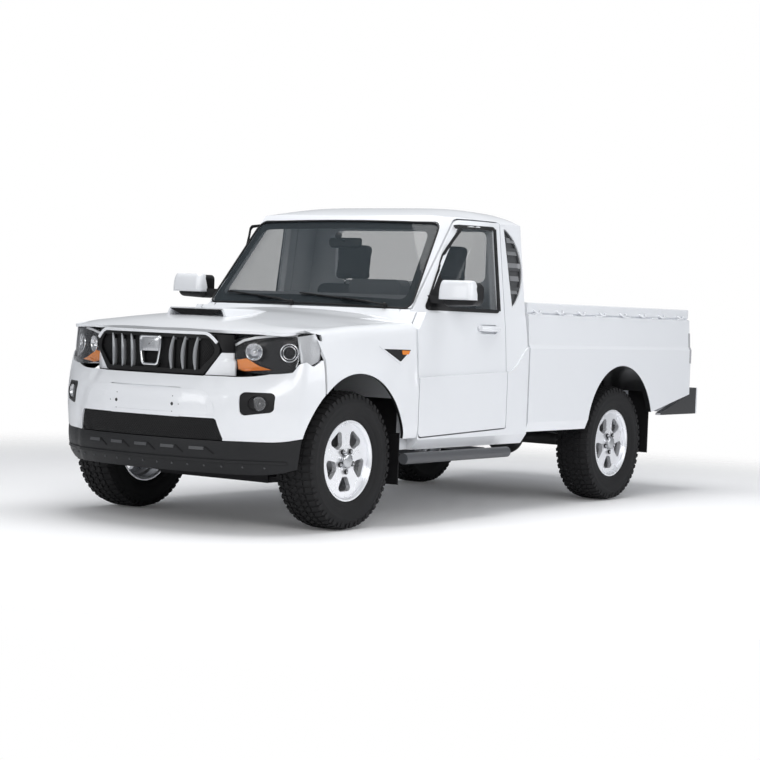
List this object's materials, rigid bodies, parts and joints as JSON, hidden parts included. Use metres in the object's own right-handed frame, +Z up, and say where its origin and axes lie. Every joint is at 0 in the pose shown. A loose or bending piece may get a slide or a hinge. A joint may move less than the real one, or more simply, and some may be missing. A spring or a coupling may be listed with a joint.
{
  "type": "pickup truck",
  "caption": "Single-cab pickup truck with a bonnet scoop, an open load bed, side steps, and doors, bonnet, tailgate, wheels and steering that move.",
  "frame": {"origin": "on the ground under the middle of the overall box", "axes": "+X towards the nose, +Y towards the left side, +Z up"},
  "size_m": [5.1101, 2.26, 1.8803],
  "materials": {
    "paint_white": "gloss",
    "black_trim": "matte",
    "charcoal_trim": "matte",
    "glass_clear": "gloss",
    "lamp_clear": "gloss",
    "lamp_red": "gloss",
    "alloy": "satin",
    "tyre_rubber": "matte",
    "frame_steel": "satin",
    "cast_metal": "matte",
    "bare_steel": "satin",
    "step_grey": "satin",
    "cabin_plastic": "matte",
    "dark_plastic": "matte",
    "seat_fabric": "matte",
    "flap_rubber": "matte"
  },
  "bodies": {
    "root": {"bumper_valance": "charcoal_trim", "cab_louvres": "black_trim", "cab_shell": "paint_white", "chassis_frame": "frame_steel", "cowl": "dark_plastic", "dashboard": "cabin_plastic", "engine_bay": "frame_steel", "engine_block": "cast_metal", "exhaust": "bare_steel", "fixed_glass": "glass_clear", "fog_lamps": "black_trim", "front_bumper": "paint_white", "front_suspension": "frame_steel", "front_wings": "paint_white", "fuel_tank": "frame_steel", "grille": "charcoal_trim", "headlamps": "lamp_clear", "load_bed": "paint_white", "mud_flaps": "flap_rubber", "propshaft": "bare_steel", "rear_axle": "cast_metal", "rear_bumper": "paint_white", "seats": "seat_fabric", "side_steps": "step_grey", "spare_wheel": "tyre_rubber", "tail_lamps": "lamp_red"},
    "knuckle_left": {"knuckle_left": "cast_metal"},
    "knuckle_right": {"knuckle_right": "cast_metal"},
    "door_left": {"door_left": "paint_white", "door_glass_left": "glass_clear", "mirror_left": "black_trim"},
    "door_right": {"door_right": "paint_white", "door_glass_right": "glass_clear", "mirror_right": "black_trim"},
    "bonnet": {"bonnet": "paint_white"},
    "tailgate": {"tailgate": "paint_white"},
    "steering_wheel": {"steering_wheel": "dark_plastic"},
    "wheel_front_left": {"tyre_front_left": "tyre_rubber", "rim_front_left": "alloy"},
    "wheel_front_right": {"tyre_front_right": "tyre_rubber", "rim_front_right": "alloy"},
    "wheel_rear_left": {"tyre_rear_left": "tyre_rubber", "rim_rear_left": "alloy"},
    "wheel_rear_right": {"tyre_rear_right": "tyre_rubber", "rim_rear_right": "alloy"}
  },
  "joints": [
    {"name": "spin_front_left", "type": "hinge", "parent": "knuckle_left", "child": "wheel_front_left", "pos_m": [1.759, 0.745, 0.387], "axis": [0, 1, 0], "continuous": true},
    {"name": "spin_front_right", "type": "hinge", "parent": "knuckle_right", "child": "wheel_front_right", "pos_m": [1.759, -0.745, 0.387], "axis": [0, 1, 0], "continuous": true},
    {"name": "spin_rear_left", "type": "hinge", "parent": "root", "child": "wheel_rear_left", "pos_m": [-1.281, 0.745, 0.387], "axis": [0, 1, 0], "continuous": true},
    {"name": "spin_rear_right", "type": "hinge", "parent": "root", "child": "wheel_rear_right", "pos_m": [-1.281, -0.745, 0.387], "axis": [0, 1, 0], "continuous": true},
    {"name": "steer_left", "type": "hinge", "parent": "root", "child": "knuckle_left", "pos_m": [1.759, 0.64, 0.387], "axis": [0, 0, 1], "range_deg": [-33, 33]},
    {"name": "door_left_hinge", "type": "hinge", "parent": "root", "child": "door_left", "pos_m": [1.157, 0.897, 0.7], "axis": [0, 0, -1], "range_deg": [0, 68]},
    {"name": "steer_right", "type": "hinge", "parent": "root", "child": "knuckle_right", "pos_m": [1.759, -0.64, 0.387], "axis": [0, 0, 1], "range_deg": [-33, 33]},
    {"name": "door_right_hinge", "type": "hinge", "parent": "root", "child": "door_right", "pos_m": [1.157, -0.897, 0.7], "axis": [0, 0, 1], "range_deg": [0, 68]},
    {"name": "bonnet_hinge", "type": "hinge", "parent": "root", "child": "bonnet", "pos_m": [1.196, 0, 1.184], "axis": [0, -1, 0], "range_deg": [0, 50]},
    {"name": "tailgate_hinge", "type": "hinge", "parent": "root", "child": "tailgate", "pos_m": [-2.286, 0, 0.802], "axis": [0, -1, 0], "range_deg": [0, 90]},
    {"name": "steering_wheel_turn", "type": "hinge", "parent": "root", "child": "steering_wheel", "pos_m": [0.694, 0.37, 1.218], "axis": [-0.905, 0, 0.4254], "range_deg": [-495, 495]}
  ],
  "couplings": [
    {"joint": "steer_right", "follows": "steer_left", "ratio": 1},
    {"joint": "steering_wheel_turn", "follows": "steer_left", "ratio": 15}
  ]
}
